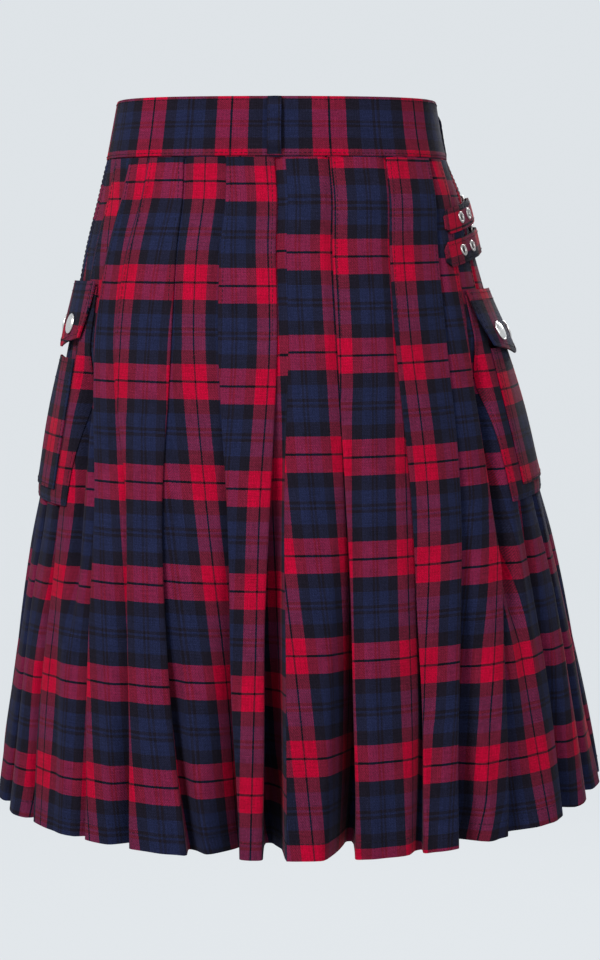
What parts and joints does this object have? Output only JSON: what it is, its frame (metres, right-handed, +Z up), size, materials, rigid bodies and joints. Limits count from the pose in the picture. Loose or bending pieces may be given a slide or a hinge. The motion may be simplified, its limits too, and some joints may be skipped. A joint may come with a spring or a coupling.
{
  "type": "utility kilt",
  "caption": "Knee-length pleated tartan kilt in its worn, hollow shape, with a waistband, cargo pockets with snapped flaps, hip straps with buckles, and two overlapping front aprons.",
  "frame": {"origin": "middle of the waist opening at the height of the middle of the waistband, where the wearer holds the kilt up", "axes": "+Z up the wearer, +Y the way the wearer faces, +X towards the wearer's right; the pleated back faces -Y"},
  "size_m": [0.5086, 0.3867, 0.6125],
  "materials": {
    "tartan": "brushed cotton twill woven in a red, navy and black tartan, matt with a short nap",
    "band": "the same tartan, doubled and topstitched, matt",
    "trim": "the tartan's navy ground, folded narrow and topstitched, matt",
    "snap": "polished nickel cap",
    "steel": "satin nickel wire"
  },
  "bodies": {
    "root": {"waistband": "band", "skirt_left": "tartan", "skirt_right": "tartan", "over_apron": "tartan", "under_apron": "tartan", "belt_loop_back": "trim", "belt_loop_left": "trim", "belt_loop_right": "trim", "pocket_left_gusset": "tartan", "pocket_left_front": "tartan", "pocket_left_flap": "tartan", "pocket_left_snap_rear": "snap", "pocket_left_snap_front": "snap", "pocket_right_gusset": "tartan", "pocket_right_front": "tartan", "pocket_right_flap": "tartan", "pocket_right_snap_rear": "snap", "pocket_right_snap_front": "snap", "strap_upper": "tartan", "eyelet_upper_tip": "steel", "eyelet_upper_middle": "steel", "eyelet_upper_pinned": "steel", "buckle_upper_frame": "steel", "buckle_upper_prong": "steel", "buckle_upper_tab": "trim", "strap_lower": "tartan", "eyelet_lower_tip": "steel", "eyelet_lower_middle": "steel", "eyelet_lower_pinned": "steel", "buckle_lower_frame": "steel", "buckle_lower_prong": "steel", "buckle_lower_tab": "trim"}
  },
  "joints": []
}
